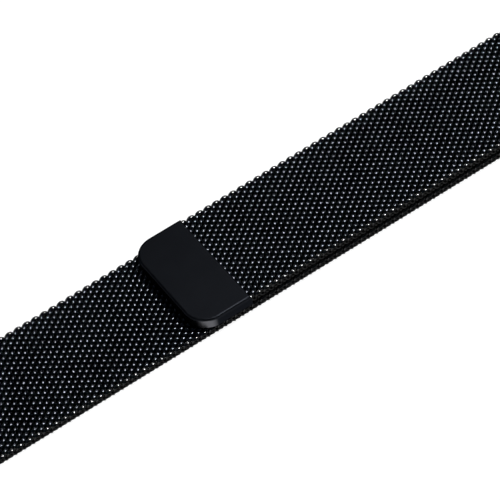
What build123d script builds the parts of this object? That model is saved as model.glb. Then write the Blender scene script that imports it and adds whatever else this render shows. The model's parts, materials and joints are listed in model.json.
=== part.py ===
"""Milanese mesh band, 18 mm wide: a long strap folded back through a slotted ring, with a magnetic clasp on
its end, and a short strap on the ring. Both outer ends hold a quick release spring bar. Millimetres, +Z up, X
along the band. The band lies flat, as it is photographed, with its origin at the middle of its underside."""

import os
from math import asin, cos, degrees, pi, radians, sin, tan

from build123d import *

# Woven strap, as wide as the lugs it fits
mesh_width = 18.0
mesh_thickness = 1.42
layer_gap = 0.2
bend_gap = 0.1
wrap_bevel_angle = 13.0
lift_bevel_angle = 27.0
tongue_thickness = 0.86
tongue_length = 1.9

# Stretches of the strap between its bends
free_length = 11.0
free_count = 3
under_clasp_length = 22.0
doubled_length = 12.0
doubled_count = 4
fold_length = 10.0
clasp_bend_length = 4.0
short_length = 10.5
short_count = 4

# Magnetic clasp
clasp_length = 9.3
clasp_height = 1.74
clasp_wall = 0.45
clasp_side_clearance = 0.1
clasp_corner_radius = 3.7
clasp_back_corner_radius = 0.5
clasp_edge_radius = 0.4
clasp_edge_share = 0.9
clasp_base_thickness = 0.35
magnet_setback = 0.7
magnet_side_gap = 1.4
magnet_gap = 0.8
magnet_count = 3
clamp_bar_length = 1.0

# Slotted ring that the long strap folds back through
fold_bar_radius = 0.7
fold_clearance = 0.1
fold_rise_length = 7.5
ring_reach = 4.1
ring_side_gap = 0.8
ring_arm_width = 1.3
ring_arm_height = 2.0
ring_edge_radius = 0.3
ring_pin_radius = 0.6
ring_pin_clearance = 0.05

# Cap that ties the short strap to the ring
cap_tube_radius = 1.1
cap_depth = 3.2
cap_height = 1.8

# End bars between the lugs
lug_side_gap = 0.1
end_tube_radius = 1.3
end_bore_radius = 0.9
end_depth = 3.4
end_height = 2.0
tongue_slot_clearance = 0.02

# Quick release spring bar
bar_tube_radius = 0.85
bar_tube_bore_radius = 0.65
bar_tip_radius = 0.4
bar_tip_length = 0.9
bar_plug_length = 2.0
slider_rod_radius = 0.6
slider_rod_length = 5.0
bar_travel = 1.2
spring_bore_radius = 0.3
lever_radius = 0.35
lever_setback = 3.4
lever_reach = 1.45
lever_clearance = 0.12
lever_angle = 45.0

cut_overrun = 1.0

# Places along the band, measured first from the bend left of the clasp
free_end_x = -free_count * free_length
long_tube_x = free_end_x - end_depth
first_doubled_x = under_clasp_length
fold_body_x = first_doubled_x + doubled_count * doubled_length
fold_bar_x = fold_body_x + fold_length
fold_inner_radius = fold_bar_radius + fold_clearance
fold_mid_radius = fold_inner_radius + mesh_thickness / 2
fold_bar_z = mesh_thickness + fold_inner_radius
ring_drop = fold_bar_z - cap_tube_radius
ring_tilt = degrees(asin(ring_drop / ring_reach))
ring_pin_x = fold_bar_x + ring_reach * cos(radians(ring_tilt))
ring_pin_z = cap_tube_radius
short_start_x = ring_pin_x + cap_depth
short_end_x = short_start_x + short_count * short_length
short_tube_x = short_end_x + end_depth

# Widths that follow the strap's
clasp_width = mesh_width + 2 * (clasp_side_clearance + clasp_wall)
magnet_room_width = clasp_width - 2 * (clasp_wall + magnet_side_gap)
magnet_width = (magnet_room_width + magnet_gap) / magnet_count - magnet_gap
ring_inner_width = mesh_width + 2 * ring_side_gap
end_bar_length = mesh_width - 2 * lug_side_gap

# The whole band is then moved so that its middle stands on the origin
middle_x = (long_tube_x + short_tube_x) / 2
lower_mid_z = mesh_thickness / 2
upper_mid_z = mesh_thickness * 1.5 + layer_gap
lifting_x = first_doubled_x - clasp_bend_length
clasp_edge_x = lifting_x - clasp_bend_length
clasp_bottom_z = mesh_thickness + layer_gap
clasp_x = clasp_edge_x - clasp_length / 2
inner_floor_z = clasp_bottom_z + clasp_base_thickness
inner_height = clasp_height - clasp_base_thickness - clasp_wall

os.makedirs("parts", exist_ok=True)


def keep(part, label):
    part.label = label
    export_step(part, f"parts/{label}.step")


def bevel_depth(angle):
    return mesh_thickness / 2 * tan(radians(angle))


# Corners of a stretch of woven strap between two bends. Its bevelled ends leave room for the bend
def slab_points(start_x, end_x, mid_z, start_angle, end_angle):
    half = mesh_thickness / 2
    left = start_x - middle_x + bend_gap / 2
    right = end_x - middle_x - bend_gap / 2
    left_cut = left + bevel_depth(start_angle)
    right_cut = right - bevel_depth(end_angle)
    return [
        (left, mid_z),
        (left_cut, mid_z + half),
        (right_cut, mid_z + half),
        (right, mid_z),
        (right_cut, mid_z - half),
        (left_cut, mid_z - half),
    ]


def strap_piece(label, start_x, end_x, mid_z, start_angle=wrap_bevel_angle, end_angle=wrap_bevel_angle):
    with BuildPart() as strap:
        with BuildSketch(Plane.XZ):
            with BuildLine():
                Polyline(*slab_points(start_x, end_x, mid_z, start_angle, end_angle), close=True)
            make_face()
        extrude(amount=mesh_width / 2, both=True)
    keep(strap.part, label)


# The last stretch of a strap, whose end is pressed flat into a tongue. outward is the side of the tongue
def tongued_strap_piece(label, bend_x, end_x, outward):
    face_x = end_x - middle_x
    bend_edge_x = bend_x - middle_x + outward * bend_gap / 2
    bevel_x = bend_edge_x + outward * bevel_depth(wrap_bevel_angle)
    tongue_x = face_x + outward * tongue_length
    tongue_low = lower_mid_z - tongue_thickness / 2
    tongue_high = lower_mid_z + tongue_thickness / 2
    with BuildPart() as strap:
        with BuildSketch(Plane.XZ):
            with BuildLine():
                Polyline(
                    (bend_edge_x, lower_mid_z),
                    (bevel_x, mesh_thickness),
                    (face_x, mesh_thickness),
                    (face_x, tongue_high),
                    (tongue_x, tongue_high),
                    (tongue_x, tongue_low),
                    (face_x, tongue_low),
                    (face_x, 0),
                    (bevel_x, 0),
                    close=True,
                )
            make_face()
        extrude(amount=mesh_width / 2, both=True)
    keep(strap.part, label)


# Long strap: the stretch under the clasp, then the free stretches out to the end bar
strap_piece("long_strap_under_clasp", 0, under_clasp_length, lower_mid_z)
for number in range(1, free_count):
    bend = -(number - 1) * free_length
    strap_piece(f"long_strap_free_{number}", bend - free_length, bend, lower_mid_z)
tongued_strap_piece(f"long_strap_free_{free_count}", free_end_x + free_length, free_end_x, -1)

# Long strap: the doubled stretches, a lower and an upper layer on each
for number in range(1, doubled_count + 1):
    start = first_doubled_x + (number - 1) * doubled_length
    strap_piece(f"long_strap_lower_{number}", start, start + doubled_length, lower_mid_z)
    strap_piece(f"long_strap_upper_{number}", start, start + doubled_length, upper_mid_z)

# Long strap: the two short stretches of the upper layer that lift the clasp
strap_piece("long_strap_lift_1", lifting_x, first_doubled_x, upper_mid_z, start_angle=lift_bevel_angle)
strap_piece(
    "long_strap_lift_2",
    clasp_edge_x,
    lifting_x,
    upper_mid_z,
    start_angle=lift_bevel_angle,
    end_angle=lift_bevel_angle,
)

# Long strap: the lower layer runs up to the fold bar
fold_x = fold_bar_x - middle_x
with BuildPart() as fold_lower:
    with BuildSketch(Plane.XZ):
        low_start_x = fold_body_x - middle_x + bend_gap / 2
        with BuildLine():
            Polyline(
                (low_start_x, lower_mid_z),
                (low_start_x + bevel_depth(wrap_bevel_angle), mesh_thickness),
                (fold_x, mesh_thickness),
                (fold_x, 0),
                (low_start_x + bevel_depth(wrap_bevel_angle), 0),
                close=True,
            )
        make_face()
    extrude(amount=mesh_width / 2, both=True)
keep(fold_lower.part, "long_strap_fold_lower")

# Long strap: the turn round the fold bar
with BuildPart() as fold_turn:
    with BuildSketch(Plane.XZ):
        with BuildLine() as turn_line:
            CenterArc((fold_x, fold_bar_z), fold_mid_radius, -90, 180)
        trace(line_width=mesh_thickness)
    extrude(amount=mesh_width / 2, both=True)
keep(fold_turn.part, "long_strap_fold_turn")

# Long strap: the upper layer comes down from the fold bar in a long S to lie on the lower layer
fold_top_z = fold_bar_z + fold_mid_radius
fold_rise = fold_top_z - upper_mid_z
rise_radius = (fold_rise_length**2 + fold_rise**2) / (4 * fold_rise)
rise_angle = degrees(asin(fold_rise_length / 2 / rise_radius))
with BuildPart() as fold_upper:
    with BuildSketch(Plane.XZ):
        with BuildLine():
            arc_down = JernArc((fold_x, fold_top_z), (-1, 0), rise_radius, rise_angle)
            arc_level = JernArc(arc_down @ 1, arc_down % 1, rise_radius, -rise_angle)
        trace(line_width=mesh_thickness)
        flat_end_x = fold_bar_x - fold_rise_length + bend_gap / 2
        with BuildLine():
            Polyline(*slab_points(fold_body_x, flat_end_x, upper_mid_z, wrap_bevel_angle, 0), close=True)
        make_face()
    extrude(amount=mesh_width / 2, both=True)
keep(fold_upper.part, "long_strap_fold_upper")


# Clasp outline: square at the edge that the strap enters, well rounded at the free end
def clasp_outline(inset, back_radius):
    with Locations((clasp_x - middle_x, 0)):
        Rectangle(clasp_length - 2 * inset, clasp_width - 2 * inset)
    corners = vertices().sort_by(Axis.X)
    fillet(corners[:2], clasp_corner_radius - inset)
    if back_radius > 0:
        fillet(corners[2:], back_radius)


with BuildPart() as clasp_cover:
    with BuildSketch(Plane.XY.offset(clasp_bottom_z)):
        clasp_outline(0, clasp_back_corner_radius)
    extrude(amount=clasp_height)
    fillet(clasp_cover.edges().group_by(Axis.Z)[-1], min(clasp_edge_radius, clasp_wall * clasp_edge_share))
    with BuildSketch(Plane.XY.offset(clasp_bottom_z)):
        clasp_outline(clasp_wall, 0)
    extrude(amount=clasp_height - clasp_wall, mode=Mode.SUBTRACT)
    with BuildSketch(Plane.YZ.offset(clasp_edge_x - middle_x - clasp_wall - tongue_slot_clearance)):
        with Locations((0, inner_floor_z)):
            Rectangle(
                mesh_width + 2 * clasp_side_clearance,
                inner_height,
                align=(Align.CENTER, Align.MIN),
            )
    extrude(amount=clasp_wall + cut_overrun, mode=Mode.SUBTRACT)
keep(clasp_cover.part, "clasp_cover")

with BuildPart() as clasp_base:
    with BuildSketch(Plane.XY.offset(clasp_bottom_z)):
        clasp_outline(clasp_wall, 0)
    extrude(amount=clasp_base_thickness)
keep(clasp_base.part, "clasp_base")

# The strap's pressed end inside the clasp, with a clamp bar behind it and magnets in the rest of the room
tongue_end_x = clasp_edge_x - clasp_wall - tongue_length
with BuildPart() as clasp_tongue:
    with BuildSketch(Plane.XY.offset(inner_floor_z)):
        with Locations((clasp_edge_x - middle_x, 0)):
            Rectangle(
                clasp_wall + tongue_length,
                mesh_width,
                align=(Align.MAX, Align.CENTER),
            )
    extrude(amount=inner_height)
keep(clasp_tongue.part, "long_strap_clasp_tongue")

with BuildPart() as clamp_bar:
    with BuildSketch(Plane.XY.offset(inner_floor_z)):
        with Locations((tongue_end_x - middle_x, 0)):
            Rectangle(clamp_bar_length, mesh_width - 2 * clasp_wall, align=(Align.MAX, Align.CENTER))
    extrude(amount=inner_height)
keep(clamp_bar.part, "clasp_clamp_bar")

magnet_room_end_x = tongue_end_x - clamp_bar_length
magnet_room_start_x = clasp_edge_x - clasp_length + clasp_wall
magnet_length = magnet_room_end_x - magnet_room_start_x - magnet_setback
with BuildPart() as magnets:
    with BuildSketch(Plane.XY.offset(inner_floor_z)):
        with Locations((magnet_room_end_x - middle_x, 0)):
            with GridLocations(magnet_length, magnet_width + magnet_gap, 1, magnet_count):
                Rectangle(magnet_length, magnet_width, align=(Align.MAX, Align.CENTER))
    extrude(amount=inner_height)
keep(magnets.part, "clasp_magnets")

# Slotted ring: a round fold bar between two arms, which carry the pin of the short strap
arm_inner_y = ring_inner_width / 2
arm_outer_y = arm_inner_y + ring_arm_width
pin_x = ring_pin_x - middle_x
with BuildPart() as ring_frame:
    with BuildSketch(Plane.XZ.offset(-arm_outer_y)):
        with Locations(((fold_x + pin_x) / 2, (fold_bar_z + ring_pin_z) / 2)):
            SlotCenterToCenter(ring_reach, ring_arm_height, rotation=-ring_tilt)
    extrude(amount=ring_arm_width)
    fillet(ring_frame.edges().group_by(Axis.Y)[-1], ring_edge_radius)
    mirror(about=Plane.XZ)
    with BuildSketch(Plane.XZ):
        with Locations((fold_x, fold_bar_z)):
            Circle(fold_bar_radius)
    extrude(amount=arm_inner_y + ring_arm_width / 2, both=True)
    with BuildSketch(Plane.XZ):
        with Locations((pin_x, ring_pin_z)):
            Circle(ring_pin_radius)
    extrude(amount=arm_outer_y + cut_overrun, both=True, mode=Mode.SUBTRACT)
keep(ring_frame.part, "ring_frame")

with BuildPart() as ring_pin:
    with BuildSketch(Plane.XZ):
        with Locations((pin_x, ring_pin_z)):
            Circle(ring_pin_radius)
    extrude(amount=arm_outer_y, both=True)
keep(ring_pin.part, "ring_pin")


# A tube along the end of a strap, with a channel behind it that takes the strap's pressed tongue
def tube_and_channel(tube_x, outward, tube_radius, bore_radius, depth, height, length):
    face_x = tube_x - outward * depth
    with BuildPart() as body:
        with BuildSketch(Plane.XZ):
            with Locations((tube_x, tube_radius)):
                Circle(tube_radius)
            with BuildLine():
                Polyline(
                    (tube_x, 0),
                    (tube_x, tube_radius + bore_radius),
                    (face_x, height),
                    (face_x, 0),
                    close=True,
                )
            make_face()
        extrude(amount=length / 2, both=True)
        with BuildSketch(Plane.XZ):
            with Locations((tube_x, tube_radius)):
                Circle(bore_radius)
            with Locations((face_x + outward * tongue_length / 2, lower_mid_z)):
                Rectangle(
                    tongue_length + 2 * tongue_slot_clearance,
                    tongue_thickness + 2 * tongue_slot_clearance,
                )
        extrude(amount=length / 2 + cut_overrun, both=True, mode=Mode.SUBTRACT)
    return body.part


cap_bore_radius = ring_pin_radius + ring_pin_clearance
cap = tube_and_channel(pin_x, -1, cap_tube_radius, cap_bore_radius, cap_depth, cap_height, mesh_width)
keep(cap, "short_strap_cap")

# Short strap: the first stretch is held by the cap, the last by the end bar
cap_face_x = short_start_x - middle_x
with BuildPart() as short_first:
    with BuildSketch(Plane.XZ):
        first_end_x = cap_face_x + short_length - bend_gap / 2
        first_bevel_x = first_end_x - bevel_depth(wrap_bevel_angle)
        with BuildLine():
            Polyline(
                (first_end_x, lower_mid_z),
                (first_bevel_x, mesh_thickness),
                (cap_face_x, mesh_thickness),
                (cap_face_x, lower_mid_z + tongue_thickness / 2),
                (cap_face_x - tongue_length, lower_mid_z + tongue_thickness / 2),
                (cap_face_x - tongue_length, lower_mid_z - tongue_thickness / 2),
                (cap_face_x, lower_mid_z - tongue_thickness / 2),
                (cap_face_x, 0),
                (first_bevel_x, 0),
                close=True,
            )
        make_face()
    extrude(amount=mesh_width / 2, both=True)
keep(short_first.part, "short_strap_mesh_1")
for number in range(2, short_count):
    start = short_start_x + (number - 1) * short_length
    strap_piece(f"short_strap_mesh_{number}", start, start + short_length, lower_mid_z)
tongued_strap_piece(f"short_strap_mesh_{short_count}", short_end_x - short_length, short_end_x, 1)


# Round piece along Y inside an end bar, from one distance from the middle to another
def round_piece(label, tube_x, radius, start_y, end_y, bore=0):
    with BuildPart() as piece:
        with BuildSketch(Plane.XZ.offset(-start_y)):
            with Locations((tube_x, end_tube_radius)):
                Circle(radius)
                if bore > 0:
                    Circle(bore, mode=Mode.SUBTRACT)
        extrude(amount=start_y - end_y)
    keep(piece.part, label)


# End bar with its spring bar. The sliding tip and its lever are on the -Y side
def end_bar_set(prefix, end_x, outward):
    tube_x = end_x - middle_x
    half = end_bar_length / 2
    slot_y = -half + lever_setback + bar_travel / 2
    slot_length = bar_travel + 2 * (lever_radius + lever_clearance)
    slot_width = 2 * (lever_radius + lever_clearance)
    lever_direction = (outward * sin(radians(lever_angle)), 0, -cos(radians(lever_angle)))
    slot_plane = Plane(origin=(tube_x, slot_y, end_tube_radius), x_dir=(0, 1, 0), z_dir=lever_direction)
    plain_bar = tube_and_channel(
        tube_x, outward, end_tube_radius, end_bore_radius, end_depth, end_height, end_bar_length
    )
    with BuildPart() as end_bar:
        add(plain_bar)
        with BuildSketch(slot_plane):
            SlotOverall(slot_length, slot_width)
        extrude(amount=end_tube_radius + cut_overrun, mode=Mode.SUBTRACT)
    keep(end_bar.part, f"{prefix}_end_bar")
    with BuildPart() as bar_tube:
        with BuildSketch(Plane.XZ):
            with Locations((tube_x, end_tube_radius)):
                Circle(bar_tube_radius)
                Circle(bar_tube_bore_radius, mode=Mode.SUBTRACT)
        extrude(amount=half, both=True)
        with BuildSketch(slot_plane):
            SlotOverall(slot_length, slot_width)
        extrude(amount=end_tube_radius, mode=Mode.SUBTRACT)
    keep(bar_tube.part, f"{prefix}_spring_bar_tube")
    with BuildPart() as fixed_tip:
        with BuildSketch(Plane.XZ.offset(-half)):
            with Locations((tube_x, end_tube_radius)):
                Circle(bar_tube_bore_radius)
        extrude(amount=bar_plug_length)
        with BuildSketch(Plane.XZ.offset(-half)):
            with Locations((tube_x, end_tube_radius)):
                Circle(bar_tip_radius)
        extrude(amount=-bar_tip_length)
    keep(fixed_tip.part, f"{prefix}_spring_bar_fixed_tip")
    with BuildPart() as sliding_tip:
        with BuildSketch(Plane.XZ.offset(half)):
            with Locations((tube_x, end_tube_radius)):
                Circle(slider_rod_radius)
        extrude(amount=-slider_rod_length)
        with BuildSketch(Plane.XZ.offset(half)):
            with Locations((tube_x, end_tube_radius)):
                Circle(bar_tip_radius)
        extrude(amount=bar_tip_length)
    keep(sliding_tip.part, f"{prefix}_spring_bar_sliding_tip")
    round_piece(
        f"{prefix}_spring_bar_spring",
        tube_x,
        slider_rod_radius,
        half - bar_plug_length,
        -half + slider_rod_length,
        bore=spring_bore_radius,
    )
    lever_y = -half + lever_setback
    lever_start = (tube_x, lever_y, end_tube_radius)
    with BuildPart() as lever:
        with BuildSketch(Plane(origin=lever_start, x_dir=(0, 1, 0), z_dir=lever_direction)):
            Circle(lever_radius)
        extrude(amount=lever_reach)
        with BuildSketch(Plane.XZ.offset(-lever_y)):
            with Locations((tube_x, end_tube_radius)):
                Circle(slider_rod_radius)
        extrude(amount=lever_radius * 2, both=True, mode=Mode.SUBTRACT)
    keep(lever.part, f"{prefix}_release_lever")
    print(prefix, "tube axis x", round(tube_x, 4))


end_bar_set("long", long_tube_x, -1)
end_bar_set("short", short_tube_x, 1)

long_strap_length = (
    fold_bar_x - free_end_x + pi * fold_mid_radius + fold_bar_x - clasp_edge_x + clasp_length + end_depth
)
print("long strap, end bar to clasp tip", round(long_strap_length, 2))
print("short strap, ring pin to end bar", round(short_tube_x - ring_pin_x, 2))
print("fold bar", round(fold_x, 4), round(fold_bar_z, 4), "ring pin", round(pin_x, 4), round(ring_pin_z, 4))
print("clasp edge", round(clasp_edge_x - middle_x, 4), "ring tilt", round(ring_tilt, 3))
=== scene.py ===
# %% [markdown]
# # A milanese mesh band, wire by wire
# The band is a strap of woven steel wire with a black coating. Its long strap runs through a slotted ring,
# folds back on itself and holds to itself with a magnetic clasp. The imported model is loaded first: it
# fixes every size, and the spring copies made here ride on its bodies.

# %% Load the frame
import json
import math

import bmesh
import bpy
import numpy as np
from mathutils import Matrix, Vector

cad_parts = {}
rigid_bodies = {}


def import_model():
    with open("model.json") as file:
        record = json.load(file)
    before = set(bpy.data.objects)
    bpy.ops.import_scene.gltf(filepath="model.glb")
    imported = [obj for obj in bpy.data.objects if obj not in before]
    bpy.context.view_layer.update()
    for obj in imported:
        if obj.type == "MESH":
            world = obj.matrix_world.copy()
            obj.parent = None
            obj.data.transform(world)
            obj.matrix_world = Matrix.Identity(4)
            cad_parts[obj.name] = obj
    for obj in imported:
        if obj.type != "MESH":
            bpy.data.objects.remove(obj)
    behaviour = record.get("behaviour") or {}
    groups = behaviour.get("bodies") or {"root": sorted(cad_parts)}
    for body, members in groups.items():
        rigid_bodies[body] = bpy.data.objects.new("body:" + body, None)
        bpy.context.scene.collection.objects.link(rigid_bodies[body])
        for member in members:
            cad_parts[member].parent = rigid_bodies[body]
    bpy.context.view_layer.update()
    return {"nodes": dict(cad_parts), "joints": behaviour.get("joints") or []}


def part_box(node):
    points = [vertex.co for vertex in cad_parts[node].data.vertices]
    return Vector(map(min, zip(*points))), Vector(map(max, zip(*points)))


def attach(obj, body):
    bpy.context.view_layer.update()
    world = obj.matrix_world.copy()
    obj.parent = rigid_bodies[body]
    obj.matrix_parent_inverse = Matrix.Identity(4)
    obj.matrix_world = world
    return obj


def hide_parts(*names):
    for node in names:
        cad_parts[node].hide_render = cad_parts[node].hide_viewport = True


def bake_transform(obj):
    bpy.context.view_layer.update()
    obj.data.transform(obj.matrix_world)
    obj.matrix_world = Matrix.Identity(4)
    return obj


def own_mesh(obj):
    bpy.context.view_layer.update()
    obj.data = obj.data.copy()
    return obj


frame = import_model()
mm = 0.001
joints = {j["name"]: j for j in frame["joints"]}

# %% [markdown]
# The strap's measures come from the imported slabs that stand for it. Only the weave has sizes of its own:
# how far the rows and the turns of wire lie apart, which was counted on the photograph against the
# strap's width, and how thick the wire is. The wire is rolled a little flat, so the rows touch and close
# the strap. Each coil reaches a wire's radius past the middle between two rows, where it hooks into the
# next one.

# %% Measures of the strap and its wire
under_low, under_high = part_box("long_strap_under_clasp")
strap_thickness = under_high.z - under_low.z
strap_half_width = under_high.y
row_spacing = 0.7527 * mm
turn_pitch = 1.147 * mm
wire_radius = 0.26 * mm
wire_flat_radius = 0.37 * mm
hook_reach = 1.02 * wire_radius
coil_half_length = row_spacing / 2 + hook_reach
coil_half_height = strap_thickness / 2 - wire_radius
regular_turns = 15.5
regular_y = regular_turns * turn_pitch / 2
last_crest_y = regular_y - turn_pitch / 4
print("half width", strap_half_width / mm, "mm, last regular crest", last_crest_y / mm, "mm")

# %% [markdown]
# ## One coil of wire
# A milanese mesh is made of flat coils of wire, one row beside the next, each screwed into its neighbour.
# Each second row is turned by half a turn. At the strap's edge one coil of a pair stops short, and the
# other makes a loop over the edge and comes back down to meet it. That is why the edge has one bump for
# every two rows. A curve with a bevel could draw each coil, but a strap has hundreds of them. So four
# coils are worked out once, as lines of points with a ring of points round each, and all rows are copies
# of these four.


# %% The rings of points round a coil's centre line
short_end = 0.25
looped_end = 0.75
end_rise = 0.22 * turn_pitch
end_fall = 0.08 * turn_pitch
steps_per_turn = 14
wire_sides = 6


def unit(vectors):
    return vectors / np.linalg.norm(vectors, axis=1)[:, None]


def coil_rings(parity, end_turn):
    turns = regular_turns + 2 * end_turn
    count = round(turns * steps_per_turn)
    turn = np.linspace(-turns / 2, turns / 2, count + 1)
    phase = math.pi * parity - 2 * math.pi * (turn - regular_turns / 2)
    past = np.clip(np.abs(turn) - regular_turns / 2, 0, None)
    beyond = np.interp(past, [0, short_end, looped_end], [0, end_rise, end_rise - end_fall])
    y = np.clip(turn * turn_pitch, -regular_y, regular_y) + beyond * np.sign(turn)
    centre = np.stack([coil_half_length * np.cos(phase), y, coil_half_height * np.sin(phase)], 1)
    level = np.zeros_like(y)
    outward = np.stack([np.cos(phase) / coil_half_length, level, np.sin(phase) / coil_half_height], 1)
    outward = unit(outward)
    across = np.cross(unit(np.gradient(centre, axis=0)), outward)
    side = 2 * math.pi * np.arange(wire_sides) / wire_sides
    thick = wire_radius * np.cos(side)[None, :, None]
    wide = wire_flat_radius * np.sin(side)[None, :, None]
    return centre[:, None] + outward[:, None] * thick + across[:, None] * wide


coils = {(parity, end): coil_rings(parity, end) for parity in (0, 1) for end in (short_end, looped_end)}
print("points on a looped coil", coils[0, looped_end].shape)

# %% [markdown]
# ## The way of each strap
# The rows follow the strap, so each row needs its place and direction on the strap's way. A curve object
# could give these, but the way is simple enough for arithmetic: straight runs and arcs, one behind the
# other. Each run is kept as its start, its heading, its length and how far it turns.


# %% A route of straight runs and arcs
def step_along(x, z, heading, length, turn):
    if not turn:
        return x + length * math.cos(heading), z + length * math.sin(heading)
    radius = length / turn
    x += radius * (math.sin(heading + turn) - math.sin(heading))
    z += radius * (math.cos(heading) - math.cos(heading + turn))
    return x, z


def make_route(start, runs):
    route = []
    x, z = start
    heading = 0.0
    for length, turn in runs:
        route.append((x, z, heading, length, turn))
        x, z = step_along(x, z, heading, length, turn)
        heading += turn
    return route


def place_on(route, s):
    for run in route:
        x, z, heading, length, turn = run
        if s <= length or run == route[-1]:
            part_turn = turn * s / length
            x, z = step_along(x, z, heading, s, part_turn)
            return x, z, heading + part_turn
        s -= length


def route_length(route):
    return sum(length for _, _, _, length, _ in route)


quarter = make_route((0, 0), [(math.pi / 2, math.pi / 2)])
print("end of a quarter circle", [round(v, 3) for v in place_on(quarter, math.pi / 2)])

# %% [markdown]
# The long strap starts at its end bar and lies along the floor. It goes round the ring's fold bar, comes
# down in a long S onto the lower layer and ends at the clasp's edge. The short strap is one straight run
# from its cap to its end bar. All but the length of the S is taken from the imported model.

# %% The routes of both straps
lower_z = joints["long_bend_1"]["pos_m"][2]
upper_z = joints["upper_layer_slip"]["pos_m"][2]
bar_x, _, bar_z = joints["ring_swing"]["pos_m"]
clasp_edge_x = joints["clasp_tilt"]["pos_m"][0]
long_start_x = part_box("long_end_bar")[1].x
fold_radius = bar_z - lower_z
fold_drop = bar_z + fold_radius - upper_z
fold_drop_length = 7.5 * mm
drop_radius = (fold_drop_length**2 + fold_drop**2) / (4 * fold_drop)
drop_turn = math.asin(fold_drop_length / 2 / drop_radius)
long_route = make_route(
    (long_start_x, lower_z),
    [
        (bar_x - long_start_x, 0),
        (math.pi * fold_radius, math.pi),
        (drop_radius * drop_turn, drop_turn),
        (drop_radius * drop_turn, -drop_turn),
        (bar_x - fold_drop_length - clasp_edge_x, 0),
    ],
)
short_start_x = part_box("short_strap_cap")[1].x
short_end_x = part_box("short_end_bar")[0].x
short_route = make_route((short_start_x, lower_z), [(short_end_x - short_start_x, 0)])
print("long strap", round(route_length(long_route), 4), "m")
print("short strap", round(route_length(short_route), 4), "m")

# %% [markdown]
# ## Meshes out of arrays
# A strap is thousands of turns of wire, so its mesh is put together as arrays of numbers and not face by
# face. A coil has walls of four-sided faces between its rings and two such faces on each end. For
# painting or baking, each row of wire gets its own strip of the UV map: a column for each step along the
# wire, and two columns more for the faces on its ends.

# %% Faces of a coil and their places on the UV map
end_faces = np.array([[3, 2, 1, 0], [5, 4, 3, 0]])
unit_square = np.array([[0, 0], [1, 0], [1, 1], [0, 1]])
end_columns = 2
end_face_size = np.array([0.4, 0.2])
end_face_margin = 0.1


def tube_faces(count):
    step = np.arange(count)[:, None] * wire_sides
    side = np.arange(wire_sides)[None, :]
    after = (side + 1) % wire_sides
    walls = np.stack([step + side, step + after, step + wire_sides + after, step + wire_sides + side], 2)
    last = end_faces[:, ::-1] + count * wire_sides
    return np.concatenate([walls.reshape(-1, 4), end_faces, last])


def tube_uv(count):
    step = np.repeat(np.arange(count), wire_sides)
    side = np.tile(np.arange(wire_sides), count)
    columns = count + end_columns
    u = np.stack([step, step, step + 1, step + 1], 1) / columns
    v = np.stack([side, side + 1, side + 1, side], 1) / wire_sides
    face_starts = count + end_face_margin + np.arange(4) * (end_face_size[0] + end_face_margin)
    corners = unit_square * end_face_size
    ends = [(corners + [start, end_face_margin]) / [columns, 1] for start in face_starts]
    return np.concatenate([np.stack([u, v], 2), np.array(ends)])


print("faces of one turn and its ends", tube_faces(steps_per_turn).shape, tube_uv(steps_per_turn).shape)

# %% [markdown]
# At both edges a long bead of metal welds each pair of wire ends on the strap's lower side. The beads
# nearly touch, so that side of the edge is straight. A bead is a ball of few faces with its two halves
# drawn apart: a cube cut once each way, with its points moved out to the ball.

# %% The bead that welds two wire ends
weld_half_length = 0.98 * row_spacing


def make_weld():
    mesh = bpy.data.meshes.new("weld")
    ball = bmesh.new()
    bmesh.ops.create_cube(ball, size=2)
    bmesh.ops.subdivide_edges(ball, edges=ball.edges[:], cuts=1, use_grid_fill=True)
    for v in ball.verts:
        v.co.normalize()
    ball.to_mesh(mesh)
    ball.free()
    points = np.array([v.co for v in mesh.vertices])
    faces = np.array([list(p.vertices) for p in mesh.polygons])
    bpy.data.meshes.remove(mesh)
    drawn_out = np.sign(np.round(points[:, 0], 3)) * (weld_half_length - wire_radius)
    return points * wire_radius + drawn_out[:, None] * [1, 0, 0], faces


weld_points, weld_faces = make_weld()
print("faces on a weld", len(weld_faces))

# %% [markdown]
# Blender takes whole arrays at once through foreach_set, which is much faster than adding faces one by
# one. Every face here has four corners, so each face's corners start four places after the last one's.


# %% An object from arrays of points and faces
def mesh_of(name, points, quads, uv):
    mesh = bpy.data.meshes.new(name)
    mesh.vertices.add(len(points))
    mesh.vertices.foreach_set("co", points.astype(np.float32).ravel())
    mesh.loops.add(quads.size)
    mesh.loops.foreach_set("vertex_index", quads.astype(np.int32).ravel())
    mesh.polygons.add(len(quads))
    mesh.polygons.foreach_set("loop_start", np.arange(0, quads.size, 4, dtype=np.int32))
    mesh.update(calc_edges=True)
    layer = mesh.uv_layers.new(name="OFBake")
    layer.uv.foreach_set("vector", uv.astype(np.float32).ravel())
    mesh.shade_smooth()
    mesh.validate()
    made = bpy.data.objects.new(name, mesh)
    bpy.context.scene.collection.objects.link(made)
    return made


print("meshes before the weave", len(bpy.data.meshes))

# %% [markdown]
# A stretch of strap is a run of rows. Each row is a copy of one of the four coils, moved to its place on
# the route and turned to the route's direction there. After the fold the strap runs the other way and
# upside down. The looped rows and the side of the beads change over there, so that the beads always lie
# on the side towards the floor.

# %% A stretch of woven strap
weld_y = regular_y + end_rise - end_fall / 2
weld_square = np.array([[0.1, 0], [0.9, 0], [0.9, 1], [0.1, 1]])


def to_route(local, x, z, heading):
    c, s = math.cos(heading), math.sin(heading)
    along, across, up = local[..., 0], local[..., 1], local[..., 2]
    return np.stack([x + along * c - up * s, across, z + along * s + up * c], -1)


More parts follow.
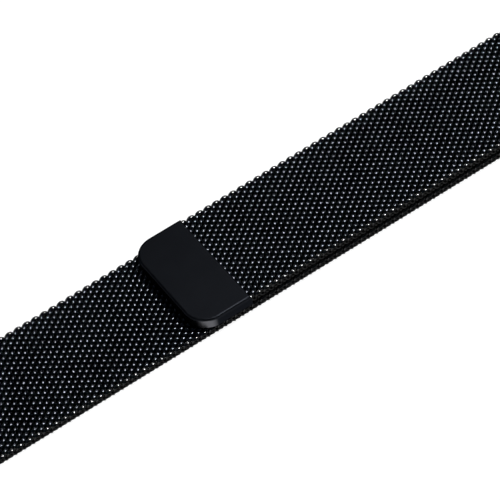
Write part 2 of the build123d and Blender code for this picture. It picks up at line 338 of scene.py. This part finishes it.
def woven_stretch(name, route, first_row, last_row, rows_start):
    rows = range(first_row, last_row)
    strips = len(rows) + 1
    points, quads, places = [], [], []
    base = 0
    for k, row in enumerate(rows):
        x, z, heading = place_on(route, rows_start + row * row_spacing)
        looped = (row % 2 == 1) == (math.cos(heading) > 0)
        coil = coils[row % 2, looped_end if looped else short_end]
        points.append(to_route(coil, x, z, heading).reshape(-1, 3))
        quads.append(tube_faces(len(coil) - 1) + base)
        places.append((tube_uv(len(coil) - 1) + [0, k]) / [1, strips])
        base += len(points[-1])
    welds = [(row, side) for row in rows if row % 2 == 0 for side in (-1, 1)]
    cells = np.arange(len(weld_faces))[:, None, None] * [1, 0] + weld_square
    for k, (row, side) in enumerate(welds):
        x, z, heading = place_on(route, rows_start + (row + 0.5) * row_spacing)
        under = -coil_half_height if math.cos(heading) > 0 else coil_half_height
        points.append(to_route(weld_points + [0, side * weld_y, under], x, z, heading))
        quads.append(weld_faces + base)
        place = (cells / [len(weld_faces), 1] + [k, 0]) / [len(welds), strips]
        places.append(place + [0, (strips - 1) / strips])
        base += len(weld_points)
    return mesh_of(name, np.concatenate(points), np.concatenate(quads), np.concatenate(places))


print("rows in 10 mm of strap", round(10 * mm / row_spacing, 2))

# %% [markdown]
# ## Finishes
# Black coated steel isn't quite black, and its coating is a little uneven. Every finish here has such a
# slow change of shade, so it is a node group: a soft noise that goes from a dark to a light shade, and
# from smooth to rough, at the same places.


# %% Node group: an uneven coating
def new_group(name, inputs, outputs):
    group = bpy.data.node_groups.new(name, "ShaderNodeTree")
    for socket, kind, value in inputs:
        made = group.interface.new_socket(name=socket, in_out="INPUT", socket_type=kind)
        made.default_value = value
    for socket, kind in outputs:
        group.interface.new_socket(name=socket, in_out="OUTPUT", socket_type=kind)
    return group, group.nodes.new("NodeGroupInput"), group.nodes.new("NodeGroupOutput")


def uneven_coating_group():
    group, given, out = new_group(
        "uneven_coating",
        [
            ("Dark", "NodeSocketColor", (0.01, 0.01, 0.01, 1)),
            ("Light", "NodeSocketColor", (0.02, 0.02, 0.02, 1)),
            ("Smooth", "NodeSocketFloat", 0.2),
            ("Rough", "NodeSocketFloat", 0.3),
            ("Patches", "NodeSocketFloat", 400.0),
        ],
        [("Color", "NodeSocketColor"), ("Roughness", "NodeSocketFloat")],
    )
    link = group.links.new
    place = group.nodes.new("ShaderNodeTexCoord")
    noise = group.nodes.new("ShaderNodeTexNoise")
    noise.inputs["Detail"].default_value = 3
    link(place.outputs["Object"], noise.inputs["Vector"])
    link(given.outputs["Patches"], noise.inputs["Scale"])
    mixes = [("RGBA", "Dark", "Light", "Color"), ("FLOAT", "Smooth", "Rough", "Roughness")]
    for kind, low, high, result in mixes:
        mix = group.nodes.new("ShaderNodeMix")
        mix.data_type = kind
        link(noise.outputs["Fac"], mix.inputs["Factor"])
        link(given.outputs[low], mix.inputs["A"])
        link(given.outputs[high], mix.inputs["B"])
        link(mix.outputs["Result"], out.inputs[result])
    return group


uneven_coating = uneven_coating_group()
print("node group", uneven_coating.name)

# %% [markdown]
# The clasp, the ring and the end bars are brushed: fine lines run across the band. The lines are a noise
# that is stretched along Y, and they go into the height of a bump. Cut lines would need far more faces
# than they are worth at this depth.

# %% Node group: fine brushing
line_stretch = (1, 0.03, 1)


def brushing_group():
    group, given, out = new_group(
        "fine_brushing",
        [("Lines", "NodeSocketFloat", 9000.0), ("Strength", "NodeSocketFloat", 0.1)],
        [("Height", "NodeSocketFloat")],
    )
    link = group.links.new
    place = group.nodes.new("ShaderNodeTexCoord")
    stretch = group.nodes.new("ShaderNodeMapping")
    stretch.inputs["Scale"].default_value = line_stretch
    noise = group.nodes.new("ShaderNodeTexNoise")
    height = group.nodes.new("ShaderNodeMath")
    height.operation = "MULTIPLY"
    link(place.outputs["Object"], stretch.inputs["Vector"])
    link(stretch.outputs["Vector"], noise.inputs["Vector"])
    link(given.outputs["Lines"], noise.inputs["Scale"])
    link(noise.outputs["Fac"], height.inputs[0])
    link(given.outputs["Strength"], height.inputs[1])
    link(height.outputs["Value"], out.inputs["Height"])
    return group


fine_brushing = brushing_group()
print("node group", fine_brushing.name)

# %% [markdown]
# The ring, the cap and the end bars are painted satin black. Paint isn't a metal: its colour is dark and
# only its clear surface shines. So this finish keeps the shader's plain settings, takes its colour and
# roughness from the first group, and adds a bump from the second.

# %% Satin black paint
brushing_depth = 0.01 * mm


def grey(value, blue=0.0):
    return (value, value, value + blue, 1)


def placed(tree, group, **values):
    node = tree.nodes.new("ShaderNodeGroup")
    node.node_tree = group
    for name, value in values.items():
        node.inputs[name].default_value = value
    return node


def coated(name, dark, light, smooth, rough, patches, brushed=0.0):
    material = bpy.data.materials.new(name)
    material.use_nodes = True
    tree = material.node_tree
    link = tree.links.new
    shader = tree.nodes["Principled BSDF"]
    coating = placed(
        tree, uneven_coating, Dark=dark, Light=light, Smooth=smooth, Rough=rough, Patches=patches
    )
    link(coating.outputs["Color"], shader.inputs["Base Color"])
    link(coating.outputs["Roughness"], shader.inputs["Roughness"])
    if brushed:
        lines = placed(tree, fine_brushing, Strength=brushed)
        bump = tree.nodes.new("ShaderNodeBump")
        bump.inputs["Distance"].default_value = brushing_depth
        link(lines.outputs["Height"], bump.inputs["Height"])
        link(bump.outputs["Normal"], shader.inputs["Normal"])
    return material


black_finish = coated(
    "satin_black",
    dark=grey(0.006, 0.001),
    light=grey(0.009, 0.002),
    smooth=0.34,
    rough=0.44,
    patches=200.0,
    brushed=1.0,
)
black_finish.node_tree.nodes["Principled BSDF"].inputs["IOR"].default_value = 1.5
black_finish.node_tree.nodes["Principled BSDF"].inputs["Specular IOR Level"].default_value = 0.4
print("finish", black_finish.name)

# %% [markdown]
# The coating on the wire and the clasp is a thin dark metal: it mirrors one small bright dot of the lamp
# on each crest and stays black at its rims. Paint would show a grey veil between the dots instead. So it
# is a metal with a dark colour, and with a dark tint at grazing angles. The spring bars are bare steel,
# which keeps its white rim.


# %% Coated and bare metal
def as_metal(material, rim):
    shader = material.node_tree.nodes["Principled BSDF"]
    shader.inputs["Metallic"].default_value = 1.0
    shader.inputs["Specular Tint"].default_value = grey(rim)
    return material


wire_dark = (0.053, 0.057, 0.064, 1)
wire_light = (0.062, 0.067, 0.076, 1)
wire_coating = coated("black_wire", wire_dark, wire_light, smooth=0.12, rough=0.16, patches=500.0)
wire_finish = as_metal(wire_coating, rim=0.25)
clasp_dark = (0.0135, 0.0148, 0.018, 1)
clasp_light = (0.0162, 0.0177, 0.0215, 1)
clasp_coating = coated(
    "satin_clasp", clasp_dark, clasp_light, smooth=0.38, rough=0.44, patches=150.0, brushed=1.0
)
clasp_finish = as_metal(clasp_coating, rim=0.2)
bare_steel = coated("turned_steel", grey(0.42), grey(0.55), smooth=0.22, rough=0.35, patches=900.0)
steel_finish = as_metal(bare_steel, rim=1.0)
print("metals", [m.name for m in (wire_finish, clasp_finish, steel_finish)])

# %% [markdown]
# The clasp's front corner wall carries a painted reflection: a pale patch of colour that stands for light
# shining on that corner. It could be painted on the UV map, but a mask made from the surface's own
# direction needs no map: it is full where the surface faces the corner and fades out round it.

# %% The clasp's painted corner reflection
reflection_facing = (-0.52, -0.854, 0)
reflection_starts, reflection_full = 0.9, 0.98


def faded(tree, value, start, full):
    fade = tree.nodes.new("ShaderNodeMapRange")
    fade.inputs["From Min"].default_value = start
    fade.inputs["From Max"].default_value = full
    tree.links.new(value, fade.inputs["Value"])
    return fade.outputs["Result"]


def paint_where(material, mask, colour):
    tree = material.node_tree
    base_color = tree.nodes["Principled BSDF"].inputs["Base Color"]
    plain = base_color.links[0].from_socket
    shade = tree.nodes.new("ShaderNodeMix")
    shade.data_type = "RGBA"
    shade.inputs["B"].default_value = colour
    tree.links.new(mask, shade.inputs["Factor"])
    tree.links.new(plain, shade.inputs["A"])
    tree.links.new(shade.outputs["Result"], base_color)


# Paints a pale reflection into the base colour where the surface faces the given direction.
def paint_corner_reflection(material, direction, painted_light):
    tree = material.node_tree
    place = tree.nodes.new("ShaderNodeTexCoord")
    facing = tree.nodes.new("ShaderNodeVectorMath")
    facing.operation = "DOT_PRODUCT"
    facing.inputs[1].default_value = direction
    tree.links.new(place.outputs["Normal"], facing.inputs[0])
    paint_where(material, faded(tree, facing.outputs["Value"], reflection_starts, reflection_full), painted_light)


# A painted reflection, pale grey, on the clasp's front corner wall.
paint_corner_reflection(clasp_finish, reflection_facing, painted_light=grey(0.13, 0.012))
print("rubbed corner faces", reflection_facing)

# %% [markdown]
# The loops at the strap's edges carry a painted highlight: they are painted lighter on top. Where the edges
# face sideways they carry painted shade: they are painted darker there. Both marks begin at the same
# distance from the strap's middle. The painted shade also needs the surface to face sideways, so its mask
# is the product of two.

# %% Painted highlight and shade on the edges of the woven wire
edge_paint_from_y = regular_y - 0.1 * mm
edge_paint_fade = 0.2 * mm
sideways_starts, sideways_full = 0.3, 0.7


def sideways_mask(tree, vector, start, full):
    axes = tree.nodes.new("ShaderNodeSeparateXYZ")
    outward = tree.nodes.new("ShaderNodeMath")
    outward.operation = "ABSOLUTE"
    tree.links.new(vector, axes.inputs["Vector"])
    tree.links.new(axes.outputs["Y"], outward.inputs[0])
    return faded(tree, outward.outputs["Value"], start, full)


# Paints a highlight on top of the edge loops and shade where the edge faces sideways.
def paint_edge_light_and_shade(material, painted_light, matt):
    tree = material.node_tree
    place = tree.nodes.new("ShaderNodeTexCoord")
    edge = sideways_mask(tree, place.outputs["Object"], edge_paint_from_y, edge_paint_from_y + edge_paint_fade)
    side = sideways_mask(tree, place.outputs["Normal"], sideways_starts, sideways_full)
    both = tree.nodes.new("ShaderNodeMath")
    both.operation = "MULTIPLY"
    tree.links.new(edge, both.inputs[0])
    tree.links.new(side, both.inputs[1])
    paint_where(material, edge, painted_light)
    paint_where(material, both.outputs["Value"], matt)


# Painted highlight, light grey, on top of the edge loops; painted shade, near black, on their sides.
paint_edge_light_and_shade(wire_finish, painted_light=grey(0.13), matt=grey(0.02))
# Prints where the painted highlight and shade on the edges begin.
print("wire is worn from", round(edge_paint_from_y / mm, 2), "mm outwards")

# %% [markdown]
# ## The woven straps
# Each piece of strap runs from the middle of one body to the middle of the next, over the joint between
# them. The rows are counted back from the last one, at the clasp's rim or at an end bar, because the
# photograph shows a row close to that rim. The first row keeps at least a sixth of a coil's length from the
# start.

# %% Weaving one strap
bend_share = 0.94
least_start = coil_half_length / 3
tight_bends = {"doubled_bend_1": 3.0 * mm}


def weave_strap(prefix, route, chain, bends, nodes, last_row_at):
    stations = [station for _, station in bends]
    middles = [0.0] + [(a + b) / 2 for a, b in zip(stations[:-1], stations[1:])] + [route_length(route)]
    row_count = int((last_row_at - least_start) / row_spacing) + 1
    rows_start = last_row_at - (row_count - 1) * row_spacing
    cuts = [0] + [math.ceil((middle - rows_start) / row_spacing) for middle in middles[1:-1]] + [row_count]
    done = set()
    for k, (bend, station) in enumerate(bends):
        piece = woven_stretch(f"{prefix}_{k + 1:02d}", route, cuts[k], cuts[k + 1], rows_start)
        piece.data.materials.append(wire_finish)
        reach = bend_share * min(station - middles[k], middles[k + 1] - station)
        reach = min(reach, tight_bends.get(bend, reach))
        x, z, heading = place_on(route, station)
        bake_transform(piece)
        stood_for = [n for body in (chain[k], chain[k + 1]) for n in nodes.get(body, []) if n not in done]
        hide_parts(*stood_for)
        done.update(stood_for)
        print(piece.name, "rows", cuts[k], "to", cuts[k + 1], "faces", len(piece.data.polygons))
    print("first row", round(rows_start / mm, 2), "mm from the start of the route")


print("tight bends", {name: round(reach / mm, 2) for name, reach in tight_bends.items()}, "mm")

# %% [markdown]
# The long strap passes the same four doubled bodies twice, once on the lower layer and once, in the other
# order, on the upper one.

# %% Long strap
free_bodies = ["long_free_3", "long_free_2", "long_free_1", "under_clasp"]
doubled_bodies = ["doubled_1", "doubled_2", "doubled_3", "doubled_4"]
clasp_bodies = ["lift_1", "lift_2", "clasp"]
long_chain = free_bodies + doubled_bodies + ["fold"] + doubled_bodies[::-1] + clasp_bodies
lower_bends = ["long_bend_3", "long_bend_2", "long_bend_1"] + [f"doubled_bend_{n}" for n in range(1, 6)]
upper_bends = [f"doubled_bend_{n}" for n in range(5, 1, -1)]
upper_bends += ["upper_layer_slip", "clasp_lift", "clasp_tilt"]
long_length = route_length(long_route)


def along_lower(name):
    return joints[name]["pos_m"][0] - long_start_x


def along_upper(name):
    return long_length - (joints[name]["pos_m"][0] - clasp_edge_x)


long_bends = [(name, along_lower(name)) for name in lower_bends]
long_bends += [(name, along_upper(name)) for name in upper_bends]
long_nodes = {f"long_free_{n}": [f"long_strap_free_{n}"] for n in range(1, 4)}
long_nodes |= {body: [f"long_strap_{body}"] for body in ("under_clasp", "lift_1", "lift_2")}
long_nodes |= {f"doubled_{n}": [f"long_strap_lower_{n}", f"long_strap_upper_{n}"] for n in range(1, 5)}
long_nodes["fold"] = [f"long_strap_fold_{part}" for part in ("lower", "turn", "upper")]
weave_strap("long_strap_weave", long_route, long_chain, long_bends, long_nodes, long_length)

# %% [markdown]
# The short strap is woven in the same way, with three bends between its four bodies. Half of the long
# strap's last coil lies in the clasp, and a quarter of the short strap's last coil lies in its end bar.

# %% Short strap
short_chain = ["short_1", "short_2", "short_3", "short_4"]
short_bends = [
    (name, joints[name]["pos_m"][0] - short_start_x)
    for name in ("short_bend_1", "short_bend_2", "short_bend_3")
]
short_nodes = {f"short_{n}": [f"short_strap_mesh_{n}"] for n in range(1, 5)}
short_last_row_at = route_length(short_route) - coil_half_length / 2
weave_strap("short_strap_weave", short_route, short_chain, short_bends, short_nodes, short_last_row_at)

# %% [markdown]
# ## The metal pieces
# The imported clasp, ring, cap, end bars and spring bars already have the right shape. Modelling them again
# would only bring differences, so they keep it and get their finish here.

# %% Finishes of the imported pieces
for name, node in frame["nodes"].items():
    if name.startswith("clasp_cover"):
        finish = clasp_finish
    elif "spring_bar" in name or "lever" in name or "magnet" in name:
        finish = steel_finish
    else:
        finish = black_finish
    node.data.materials.clear()
    node.data.materials.append(finish)
print("finished", len(frame["nodes"]), "packed pieces")

# %% [markdown]
# The spring in each quick release bar is pressed together when its lever draws the tip in. A imported piece
# keeps its shape in every pose, so a copy of the spring takes its place, on the parent body of its release
# slide.


# %% Copies of the springs
def pressed_spring(bar, slide):
    node = f"{bar}_spring"
    mesh = frame["nodes"][node].data.copy()
    coil = bpy.data.objects.new(f"{bar}_coil", mesh)
    bpy.context.scene.collection.objects.link(coil)
    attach(coil, joints[slide]["parent"])
    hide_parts(node)
    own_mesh(coil)


pressed_spring("long_spring_bar", "long_release_slide")
pressed_spring("short_spring_bar", "short_release_slide")

# %% [markdown]
# ## Floor, light and camera
# The photograph is a product shot on white with almost no shadow. More light would wash out the black
# band, so the ground itself glows, but only for rays that come from the camera, a mirror or glass. To all
# other rays it is a pale matt surface, and so it still keeps a little of the band's shadow.


# %% A white ground
def white_ground(name, matt_share, glow_share):
    material = bpy.data.materials.new(name)
    material.use_nodes = True
    nodes = material.node_tree.nodes
    link = material.node_tree.links.new
    nodes.clear()
    path = nodes.new("ShaderNodeLightPath")
    shown = path.outputs["Is Camera Ray"]
    for ray in ("Is Glossy Ray", "Is Transmission Ray"):
        either = nodes.new("ShaderNodeMath")
        either.operation = "MAXIMUM"
        link(shown, either.inputs[0])
        link(path.outputs[ray], either.inputs[1])
        shown = either.outputs["Value"]
    strength = nodes.new("ShaderNodeMath")
    strength.operation = "MULTIPLY"
    strength.inputs[1].default_value = glow_share
    link(shown, strength.inputs[0])
    glow = nodes.new("ShaderNodeEmission")
    link(strength.outputs["Value"], glow.inputs["Strength"])
    matt = nodes.new("ShaderNodeBsdfDiffuse")
    matt.inputs["Color"].default_value = grey(matt_share)
    add = nodes.new("ShaderNodeAddShader")
    link(matt.outputs["BSDF"], add.inputs[0])
    link(glow.outputs["Emission"], add.inputs[1])
    out = nodes.new("ShaderNodeOutputMaterial")
    link(add.outputs["Shader"], out.inputs["Surface"])
    return material


floor_finish = white_ground("white_floor", matt_share=0.2, glow_share=0.92)
wall_finish = white_ground("white_wall", matt_share=0.1, glow_share=0.92)
print("grounds", floor_finish.name, wall_finish.name)

# %% [markdown]
# The floor is one large square just under the band. A low wall round it has the same tone, so that no line
# shows where they meet. Neither is part of the object.

# %% Floor and the low wall round it
room_half_width = 4.0
wall_height = 1.0
floor_z = -0.02 * mm


def stage_piece(name, corners, faces, material):
    mesh = bpy.data.meshes.new(name)
    mesh.from_pydata(corners, [], faces)
    mesh.materials.append(material)
    made = bpy.data.objects.new(name, mesh)
    bpy.context.scene.collection.objects.link(made)
    return made


outline = [(x * room_half_width, y * room_half_width) for x, y in ((-1, -1), (1, -1), (1, 1), (-1, 1))]
floor_corners = [(x, y, floor_z) for x, y in outline]
floor = stage_piece("floor", floor_corners, [(0, 1, 2, 3)], floor_finish)
wall_corners = [(x, y, z) for z in (floor_z, wall_height) for x, y in outline]
wall_faces = [(k, (k + 1) % 4, (k + 1) % 4 + 4, k + 4) for k in range(4)]
backdrop = stage_piece("backdrop", wall_corners, wall_faces, wall_finish)
print("stage", floor.name, backdrop.name)

# %% [markdown]
# The highlights on the wire are small and sharp, so the lamps are soft boxes at some distance, and the
# room between them is dim and a little blue. The shadow left of the clasp shows where the main box
# stands: high up on the right. A weak box in front and one low at the back lift the sides that it doesn't
# reach.

# %% Lamps and world
photo_middle = Vector((clasp_edge_x + 5.94 * mm, 0.34 * mm, 0))
lamp_distance = 1.2
room_colour = (0.022, 0.03, 0.045, 1)


def soft_box(name, azimuth, elevation, width, power):
    light = bpy.data.lights.new(name, "AREA")
    light.shape = "SQUARE"
    light.size = width
    light.energy = power
    lamp = bpy.data.objects.new(name, light)
    bpy.context.scene.collection.objects.link(lamp)
    a, e = math.radians(azimuth), math.radians(elevation)
    away = Vector((math.sin(a) * math.cos(e), math.cos(a) * math.cos(e), math.sin(e)))
    lamp.location = photo_middle + away * lamp_distance
    lamp.rotation_mode = "QUATERNION"
    lamp.rotation_quaternion = (-away).to_track_quat("-Z", "Y")
    return lamp


lamps = [
    soft_box("top_box", azimuth=85, elevation=62, width=0.28, power=15.0),
    soft_box("front_box", azimuth=-120, elevation=20, width=0.3, power=0.6),
    soft_box("back_box", azimuth=17, elevation=12, width=0.3, power=1.5),
]
world = bpy.data.worlds.new("room")
bpy.context.scene.world = world
world.use_nodes = True
world.node_tree.nodes["Background"].inputs["Color"].default_value = room_colour
world.node_tree.nodes["Background"].inputs["Strength"].default_value = 1.0
print("lamps", [lamp.name for lamp in lamps])

# %% [markdown]
# The photograph looks down on the band from in front and is slightly rolled. The camera's place and lens
# were found by matching the dots of wire, the outline and the clasp's corners. It looks at the point of
# the band in the middle of the photograph, from a given direction and distance, and is then rolled.

# %% Camera
camera_distance = 411.3 * mm
camera_azimuth = math.radians(25.84)
camera_elevation = math.radians(50.11)
camera_roll = math.radians(-10.81)
camera_lens = 199.4
camera_sensor_width = 36.0
camera = bpy.data.objects.new("camera", bpy.data.cameras.new("camera"))
bpy.context.scene.collection.objects.link(camera)
bpy.context.scene.camera = camera
forward = Vector(
    (
        math.sin(camera_azimuth) * math.cos(camera_elevation),
        math.cos(camera_azimuth) * math.cos(camera_elevation),
        -math.sin(camera_elevation),
    )
)
right = Vector((math.cos(camera_azimuth), -math.sin(camera_azimuth), 0))
up = right.cross(forward)
rolled_right = right * math.cos(camera_roll) + up * math.sin(camera_roll)
rolled_up = rolled_right.cross(forward)
facing = Matrix((rolled_right, rolled_up, -forward)).transposed().to_4x4()
camera.matrix_world = Matrix.Translation(photo_middle - forward * camera_distance) @ facing
camera.data.lens = camera_lens
camera.data.sensor_width = camera_sensor_width
camera.data.clip_start = 0.01
camera.data.clip_end = 20.0
bpy.context.scene.view_settings.view_transform = "Standard"
print("camera at", [round(v, 4) for v in camera.matrix_world.translation])
